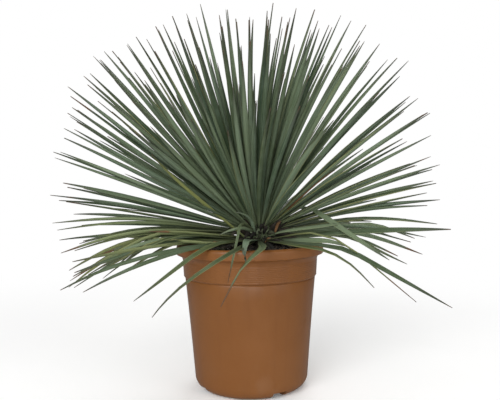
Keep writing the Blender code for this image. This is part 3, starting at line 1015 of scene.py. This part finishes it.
def outlineLeaf(index, draws):
    k = outlineRule
    seen = k["first"] + (k["last"] - k["first"]) * (index + 0.5 + eitherWay(draws, k["apart"])) / k["count"]
    seen += outOfOpenings(seen)
    reach, droop = outlineAt(seen)
    reach *= draws.uniform(*(k["shortReach"] if draws.random() < k["shorter"] else k["reach"]))
    away = math.radians(draws.uniform(*k["depth"]))
    length = reach / (math.cos(away) - reach * math.sin(away) / cameraPlace["distance"])
    turn = math.radians(seen)
    way = Vector((math.sin(turn) * math.cos(away), math.sin(away), math.cos(turn) * math.cos(away)))
    azimuth, elevation = math.degrees(math.atan2(way.x, -way.y)), math.degrees(math.asin(way.z))
    start, span = k["limpBend"] if droop > k["limpOver"] else k["bend"]
    facing = 90 * abs(math.sin(math.radians(azimuth)))  # the twist that turns the blade's face to the front
    twist = draws.choice((-1, 1)) * (facing - draws.uniform(*k["twist"]))
    width = leafRule["width"] * draws.uniform(*k["width"])
    return (azimuth, elevation, length, droop, start, span, 0.0, twist, width, elevation)


# Limp old leaves: most hang at the left, a few anywhere round the back
lowLeaves = {
    "count": 16, "left": (-116, -58), "shareLeft": 0.45, "back": (70, 230), "elevation": (2.5, 8),
    "length": (0.24, 0.335), "droop": (14, 42), "start": (0.38, 0.62), "span": (0.06, 0.4), "sway": 26,
    "twist": 75, "width": (0.55, 0.85),
}


def lowLeaf(draws):
    k = lowLeaves
    azimuth = draws.uniform(*k["left" if draws.random() < k["shareLeft"] else "back"])
    course = [draws.uniform(*k[key]) for key in ("elevation", "length", "droop", "start", "span")]
    return (
        azimuth, *course, eitherWay(draws, k["sway"]), eitherWay(draws, k["twist"]),
        leafRule["width"] * draws.uniform(*k["width"]), leafRule["frontSeat"],
    )


def leafMaterial():
    mat, tree, shader = newMaterial("yuccaLeaf")
    look, labels = leafLook, ("along", "across", "tint", "yellow", "dry", "margin", "shade")
    along, across, tint, yellow, dry, margin, shaded = [attribute(tree, label) for label in labels]
    lines, ribs = linesOn(tree, along, across, tint, 8.0)
    patches = patchesOn(tree, 26.0, 0.38, 0.68)
    speck = gritOn(tree, 1400.0, 0.16)[1]
    # each leaf's own shade, from deep to pale, with lighter and darker lines along it
    shade = maths(tree, "SUBTRACT", maths(tree, "MULTIPLY_ADD", lines, 0.9, tint), 0.45, clamp=True)
    yellowed = maths(tree, "MULTIPLY", maths(tree, "MULTIPLY_ADD", lines, 0.3, 0.8), yellow, clamp=True)
    # thin yellowish margins
    edge = maths(tree, "MULTIPLY", rampBetween(tree, maths(tree, "ABSOLUTE", across), 0.78, 0.97), margin)
    # paler towards the root, both the blade's own paler base and painted light at the crown's foot; the low
    # leaves also get painted shade, darker towards the root
    paleRootAndPaintedLight = rampBetween(tree, along, 0.26, 0.02)
    lowLeafShade = maths(tree, "MULTIPLY", rampBetween(tree, along, 0.52, 0.08), shaded)
    # dry end: dry is the share of the length that has dried, counted from the tip
    uneven = maths(tree, "MULTIPLY_ADD", lines, 0.03, maths(tree, "SUBTRACT", 1.0, along))
    dried = rampBetween(tree, uneven, maths(tree, "ADD", dry, 0.03), dry)
    rough = maths(tree, "MULTIPLY_ADD", patches, 0.12, 0.46)
    feed(tree, shader, {
        "Base Color": layered(tree, look["deep"], (
            (shade, None, look["pale"]), (patches, 0.32, look["bloom"]),
            (yellowed, None, look["yellowGreen"]), (edge, None, look["margin"]),
            (paleRootAndPaintedLight, 0.62, look["root"]), (lowLeafShade, 0.66, look["paintedRootShade"]),
            (dried, None, mixColours(tree, lines, look["rust"], look["tan"])),
            (rampBetween(tree, along, 0.74, 1.0), 0.68, look["tip"]), (speck, 0.35, look["tip"]),
        )),
        "Roughness": maths(tree, "MULTIPLY_ADD", dried, 0.3, rough), "Specular IOR Level": 0.27,
        "Normal": bumped(tree, ribs, 0.35, 0.0005),
    })
    return mat


leafMat = leafMaterial()

# Wear, colour and painted shade of a leaf. Tint is a mean and a spread, and a curl of 1 is the blade's own
# section.
leafWear = {
    "seed": 58, "lowUnder": 16, "yellow": (0.0, 0.16), "lowYellow": 0.10, "leftYellow": 0.35,
    "yellowMost": 1.6, "dryTip": (0.004, 0.03), "dryEnd": (0.04, 0.16), "dryChance": 0.03,
    "lowDryChance": 0.2, "opensOver": 4, "margins": (0.0, 0.1, 0.15, 0.25, 0.9), "tint": (0.47, 0.42),
    "shadeUnder": 22, "shadeFade": 12, "curl": (0.8, 1.5), "wave": (0.0, 0.0022), "waves": (0.8, 2.2),
}


def leafAppearance(azimuth, elevation, draws):
    # older, lower leaves are yellower, most of all on the left, and more often dry at the tip
    k = leafWear
    low = max(0.0, 1.0 - elevation / k["lowUnder"])
    left = max(0.0, -math.sin(math.radians(azimuth)))
    yellow = draws.uniform(*k["yellow"])
    yellow += low * (k["lowYellow"] + k["leftYellow"] * left) * draws.random() * k["yellowMost"]
    dry = draws.uniform(*k["dryTip"])
    if draws.random() < k["dryChance"] + k["lowDryChance"] * low:
        dry = draws.uniform(*k["dryEnd"])
    return {
        "crown": 2 if elevation > k["opensOver"] else 1,  # 2: it also swings out of the openings
        "margin": draws.choice(k["margins"]),
        "tint": clipped(draws.gauss(*k["tint"])),
        # how much painted shade darkens the leaf towards its root, most on the low leaves
        "shade": clipped((k["shadeUnder"] - elevation) / k["shadeFade"]),
        "yellow": min(1.0, yellow),
        "dry": dry,
        "curl": draws.uniform(*k["curl"]),
        "wave": draws.uniform(*k["wave"]),
        "waves": draws.uniform(*k["waves"]),
        "phase": draws.uniform(0, 6.28),
    }


def makeLeaf(name, leaf, look):
    k, (azimuth, elevation, length) = leafRule, leaf[:3]
    on = heading(azimuth, leaf[9])
    root = Vector((on.x * k["coreRadius"], on.y * k["coreRadius"], coreCentre + on.z * k["coreHalfHeight"]))
    root -= heading(azimuth, elevation) * k["sink"]
    length -= k["coreRadius"] - k["sink"]
    return bentBlade(name, root, azimuth, elevation, length, *leaf[3:9], look)


def finishLeaves(pieces, name):
    bunch = joined(pieces, name)
    for polygon in bunch.data.polygons:
        polygon.use_smooth = True
    dressed(bunch, leafMat)
    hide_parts("leaf_head")
    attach(bunch, "root")
    return bunch


def makeLeaves():
    draws = random.Random(leafWear["seed"])
    noise.seed_set(leafRule["seed"])  # without this the clock seeds it, and each run differs
    tiers = {"leaves_upright": [], "leaves_spreading": [], "leaves_low": [], "leaves_front": []}

    def grow(name, leaf, tier=None, calm=False, **changes):
        look = leafAppearance(leaf[0], leaf[1], draws)
        if calm:
            look.update(crown=1, wave=min(look["wave"], leafRule["calmWave"]))
        look.update(changes)
        made = makeLeaf(name, leaf, look)
        tier = tier or next(label for label, over in leafRule["tiers"] if leaf[1] > over)
        tiers[tier].append(made)
        return made

    for i in range(outlineRule["count"]):
        made = grow(f"outline{i}", outlineLeaf(i, draws), calm=True)
        outlineAngles.append(seenAngle(np.array([v.co for v in made.data.vertices]))[0])
    for i, given in enumerate(spiralLeaves()):
        if leftOut(given, draws):
            continue
        grown = [withinOutline(settled(given))]
        if given[1] > leafRule["betweenOver"] and draws.random() < leafRule["between"]:
            grown.append(betweenLeaf(grown[0], draws))
        for leaf in grown:
            grow(f"leaf{i}", leaf)
    for i in range(lowLeaves["count"]):
        grow(f"low{i}", lowLeaf(draws), "leaves_low")
    for i, own in enumerate(frontLeaves):
        seat = leafRule["frontSeat"] if own[1] < leafRule["levelUnder"] else own[1]
        leaf = (*own[:8], leafRule["width"] * own[8], seat)
        grow(f"front{i}", leaf, "leaves_front", True, shade=0.9, **finishes[own[9]])
    for i, own in enumerate(ownLeaves):
        leaf = (*own[:8], leafRule["width"] * own[8], own[9])
        grow(f"own{i}", leaf, "leaves_front", crown=1, wave=0.0005, **finishes[own[10]])
    for name, pieces in tiers.items():
        finishLeaves(pieces, name)


makeLeaves()
print("leaves bent and joined")


# Crown core, where the leaf bases close round the growing point

def makeCore():
    k = leafRule
    deselectAll()
    bpy.ops.mesh.primitive_uv_sphere_add(segments=20, ring_count=10, radius=1, location=(0, 0, 0))
    core = named("crown_core")
    bpy.ops.object.mode_set(mode="EDIT")
    bpy.ops.transform.resize(value=(k["coreRadius"], k["coreRadius"], k["coreHalfHeight"]))
    bpy.ops.mesh.inset(thickness=0.0006, use_individual=True)
    bpy.ops.transform.shrink_fatten(value=0.0008)
    bpy.ops.mesh.select_all(action="SELECT")
    bpy.ops.transform.translate(value=tuple(crownCentre))
    bpy.ops.object.mode_set(mode="OBJECT")
    for label, value in (("along", 0.05), ("across", 0.0), ("tint", -0.4), ("yellow", 0.0), ("dry", 0.0)):
        marked(core, label, value)
    dressed(core, leafMat)
    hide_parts("leaf_head")
    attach(core, "root")


makeCore()
print("crown core closed")


# Trunk, with the dry bases of old leaves

trunkShape = {
    "sides": 40, "rings": 16, "bases": 64, "baseLength": (0.016, 0.030), "baseWidth": (0.006, 0.010),
}

trunkLook = {
    "deepBark": (0.022, 0.014, 0.009),
    "bark": (0.150, 0.095, 0.052),
    # brown-black ground of the old bases, partly their own colour and partly painted shade round the crown's
    # foot
    "dark": (0.008, 0.007, 0.005),
    "pale": (0.085, 0.064, 0.040),
    "green": (0.040, 0.056, 0.026),
}


def barkMaterial():
    mat, tree, shader = newMaterial("fibrousBark")
    fibre = noiseOn(tree, stretched(tree, ownPlace(tree), (160, 160, 18)), 1.0, 6.0, 0.7)
    mask = rampBetween(tree, fibre, 0.35, 0.68)
    feed(tree, shader, {
        "Base Color": mixColours(tree, mask, trunkLook["deepBark"], trunkLook["bark"]),
        "Roughness": maths(tree, "MULTIPLY_ADD", mask, 0.15, 0.78),
        "Normal": bumped(tree, fibre, 0.8, 0.0012),
    })
    return mat


def baseMaterial():
    # the grey-brown, fibrous remains of old leaves, on a brown-black ground that also serves as painted shade
    # round the crown's foot
    mat, tree, shader = newMaterial("oldLeafBase")
    along, across, tint = [attribute(tree, label) for label in ("along", "across", "tint")]
    lines, ribs = linesOn(tree, along, across, tint, 7.0)
    feed(tree, shader, {
        "Base Color": layered(tree, trunkLook["dark"], (
            (maths(tree, "MULTIPLY", lines, tint), None, trunkLook["pale"]),
            (rampBetween(tree, tint, 0.80, 0.84), 0.6, trunkLook["green"]),
        )),
        "Roughness": maths(tree, "MULTIPLY_ADD", lines, 0.2, 0.7),
        "Normal": bumped(tree, ribs, 0.7, 0.0006),
    })
    return mat


def bitLook(draws, dry, curl, wave, waves):
    return {
        "tint": draws.random(), "dry": dry, "curl": curl, "wave": wave, "waves": waves,
        "phase": draws.uniform(0, 6),
    }
# Old bases that close round the crown's foot: rows by height on the core, number in a row, the
# # angle at which they stand off, length. The last row lies out on the mix as dark dead stubs that
# # also stand for painted shadow of the leaves over the mix
skirtRows = (
    (10, 20, (30, 66), (0.016, 0.030)),
    (-8, 24, (4, 50), (0.016, 0.034)),
    (-28, 26, (-30, 26), (0.014, 0.032)),
    (-52, 24, (-58, 6), (0.012, 0.026)),
    (-44, 40, (-12, 10), (0.028, 0.058)),
)


def makeSkirt(draws):
    k, bases = leafRule, []
    for seat, count, stand, lengths in skirtRows:
        for i in range(count):
            azimuth = 360 * (i + draws.uniform(-0.4, 0.4)) / count
            on = heading(azimuth, seat + draws.uniform(-6, 6))
            over = Vector((on.x * k["coreRadius"], on.y * k["coreRadius"], on.z * k["coreHalfHeight"]))
            root = Vector(crownCentre) + over * 0.93
            look = bitLook(draws, 0.0, 2.2, 0.0012, 2.0)
            bases.append(bentBlade(
                f"skirt{seat}_{i}", root, azimuth, draws.uniform(*stand), draws.uniform(*lengths),
                draws.uniform(-10, 50), 0.2, 0.8, eitherWay(draws, 30), eitherWay(draws, 40),
                draws.uniform(0.0040, 0.0085), look,
            ))
    return bases


def makeTrunk():
    t = trunkShape
    radius = mixShape["holeRadius"]
    low, high = trunkLow.z, trunkHigh.z
    profile = [(0.0, low), (radius * 0.94, low)]
    for i in range(t["rings"] + 1):
        z = low + 0.003 + (high - low - 0.006) * i / t["rings"]
        profile.append((radius - 0.0002 - 0.0006 * (i % 2), z))
    profile += [(radius * 0.88, high), (0.0, high)]
    trunk = turnedBody("trunk_bark", profile, t["sides"])
    smoothBy(trunk, 60)
    dressed(trunk, barkMaterial())
    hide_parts("trunk")
    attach(trunk, "root")
    draws = random.Random(12)
    bases = []
    for i in range(t["bases"]):
        azimuth = 360 * i / t["bases"] * 5.03
        root = heading(azimuth, 0) * (radius * 0.8) + Vector((0, 0, high - draws.uniform(0.002, 0.006)))
        look = bitLook(draws, 1.5, 1.6, 0.0005, 2.0)
        bases.append(bentBlade(
            f"base{i}", root, azimuth, draws.uniform(2, 9), draws.uniform(*t["baseLength"]),
            draws.uniform(-5, 10), 0.3, 0.7, eitherWay(draws, 12), eitherWay(draws, 20),
            draws.uniform(*t["baseWidth"]), look,
        ))
    bunch = finishLeaves(bases + makeSkirt(draws), "old_leaf_bases")
    dressed(bunch, baseMaterial())


makeTrunk()
print("trunk and old leaf bases in place")


# Dry strips and fibres that lie on the mix and hang among the low leaves

# Root's azimuth and distance from the axis, its height over the mix, azimuth and elevation of the
# strip, length, droop, turn aside, width
dryStrips = (
    (62, 0.050, 0.022, 28, 62, 0.030, 14, 10, 0.0042),
    (42, 0.040, 0.004, 40, 50, 0.022, 20, -8, 0.0026),
    (-58, 0.062, 0.008, -70, 24, 0.018, 70, 40, 0.0040),
    (66, 0.102, 0.020, 80, 18, 0.034, 60, -30, 0.0030),
)


def makeDryBits():
    draws = random.Random(33)
    strips = []
    for i, (fromAzimuth, r, over, azimuth, elevation, length, droop, sway, width) in enumerate(dryStrips):
        root = heading(fromAzimuth, 0) * r + Vector((0, 0, mixHeight(r) + over))
        look = bitLook(draws, 1.5, 1.8, 0.001, 2.5)
        strips.append(bentBlade(
            f"strip{i}", root, azimuth, elevation, length, droop, 0.2, 0.6, sway, eitherWay(draws, 60),
            width, look,
        ))
    bunch = finishLeaves(strips, "dry_bits")
    fibres = []
    for i in range(mixShape["fibres"]):
        r = draws.uniform(0.035, 0.104)
        root = heading(draws.uniform(0, 360), 0) * r + Vector((0, 0, mixHeight(r) + 0.0008))
        look = bitLook(draws, 1.5, 1.0, 0.003, 3.0)
        inward = math.degrees(math.atan2(-root.x, root.y)) + eitherWay(draws, 100)
        fibres.append(bentBlade(
            f"fibre{i}", root, inward, draws.uniform(2, 10), draws.uniform(0.012, 0.030),
            draws.uniform(4, 16), 0.2, 0.7, eitherWay(draws, 50), 0, draws.uniform(0.0006, 0.0016), look,
        ))
    bunch = finishLeaves(fibres, "mix_fibres")
    dressed(bunch, bpy.data.materials["oldLeafBase"])


makeDryBits()
bpy.data.objects.remove(master, do_unlink=True)
print("dry bits laid")


# Floor, light and camera

studio = {
    "floorSize": 14.0,
    "floorTone": (0.93, 0.93, 0.925),
    "floorGlow": 0.08,
    "farGlow": 0.35,
    "farFloor": (0.25, 1.5),
    "skyStrength": 0.47,
    "seenSky": 1.0,
    "mirroredSky": -0.38,
    "mirroredFloor": 0.75,
    "dimFloor": 0.12,
}

# name, place, height of the point that it faces on the axis, size, power
lights = (
    ("keyLight", (-1.1, -2.3, 1.5), 0.3, (1.8, 1.6), 62),
    ("fillLight", (1.9, -1.6, 0.9), 0.2, (1.2, 1.6), 14),
    ("frontLight", (0.3, -2.6, 0.5), 0.25, (1.0, 0.8), 12),
    ("backLight", (0.6, 1.9, 1.7), 0.35, (1.6, 1.0), 22),
)


def makeFloor():
    deselectAll()
    bpy.ops.mesh.primitive_plane_add(size=studio["floorSize"], location=(0, 0, -0.0005))
    floor = named("studioFloor")
    mat, tree, shader = newMaterial("paleFloor")
    tone, white = studio["floorTone"], (1.0, 1.0, 1.0, 1.0)
    patches = patchesOn(tree, 1.5, 0.3, 0.7)
    feed(tree, shader, {
        "Base Color": mixColours(tree, patches, tone, tuple(0.98 * c for c in tone)), "Roughness": 0.8,
        "Specular IOR Level": 0.2, "Emission Color": white, "Emission Strength": studio["floorGlow"],
    })
    # far off it looks plain white to the camera
    rays = put(tree, "ShaderNodeLightPath")
    away = put(tree, "ShaderNodeVectorMath", {0: ownPlace(tree)}, operation="LENGTH"), "Value"
    seen = maths(tree, "MULTIPLY", (rays, "Is Camera Ray"), 1 - studio["farGlow"])
    even = put(tree, "ShaderNodeEmission", {"Strength": maths(tree, "ADD", seen, studio["farGlow"])}), 0
    # near by it is dimmer where the plant and pot mirror it
    mirrored = maths(tree, "MULTIPLY", (rays, "Is Glossy Ray"), studio["mirroredFloor"])
    dim = put(tree, "ShaderNodeEmission", {"Strength": studio["dimFloor"]}), 0
    near = put(tree, "ShaderNodeMixShader", {0: mirrored, 1: (shader, "BSDF"), 2: dim}), 0
    fade = rampBetween(tree, away, *studio["farFloor"])
    blend = put(tree, "ShaderNodeMixShader", {0: fade, 1: near, 2: even}), 0
    feed(tree, tree.nodes["Material Output"], {"Surface": blend})
    floor.data.materials.append(mat)


def makeLight(name, place, aim, size, power):
    deselectAll()
    bpy.ops.object.light_add(type="AREA", location=place)
    light = named(name)
    light.data.shape = "RECTANGLE"
    light.data.size, light.data.size_y = size
    light.data.energy = power
    light.rotation_euler = (Vector((0, 0, aim)) - Vector(place)).to_track_quat("-Z", "Y").to_euler()


def makeStudio():
    world = bpy.data.worlds.new("softSky")
    bpy.context.scene.world = world
    world.use_nodes = True
    tree = world.node_tree
    rays = put(tree, "ShaderNodeLightPath")
    more = maths(tree, "MULTIPLY", (rays, "Is Camera Ray"), studio["seenSky"] - studio["skyStrength"])
    less = maths(tree, "MULTIPLY", (rays, "Is Glossy Ray"), studio["mirroredSky"])
    strength = maths(tree, "ADD", maths(tree, "ADD", more, less), studio["skyStrength"])
    feed(tree, tree.nodes["Background"], {"Color": (1.0, 1.0, 1.0, 1.0), "Strength": strength})
    bpy.context.scene.view_settings.view_transform = "Standard"
    makeFloor()
    for light in lights:
        makeLight(*light)


def makeCamera():
    c = cameraPlace
    eye = bpy.data.cameras.new("photoCamera")
    eye.lens = c["lens"]
    eye.sensor_width = 36
    camera = bpy.data.objects.new("photoCamera", eye)
    bpy.context.scene.collection.objects.link(camera)
    camera.matrix_world = (
        Matrix.Translation((c["aside"], -c["distance"], c["height"]))
        @ Matrix.Rotation(math.radians(90 - c["down"]), 4, "X")
        @ Matrix.Rotation(math.radians(-c["roll"]), 4, "Z")
    )
    bpy.context.scene.camera = camera


makeStudio()
makeCamera()
print("studio lit")
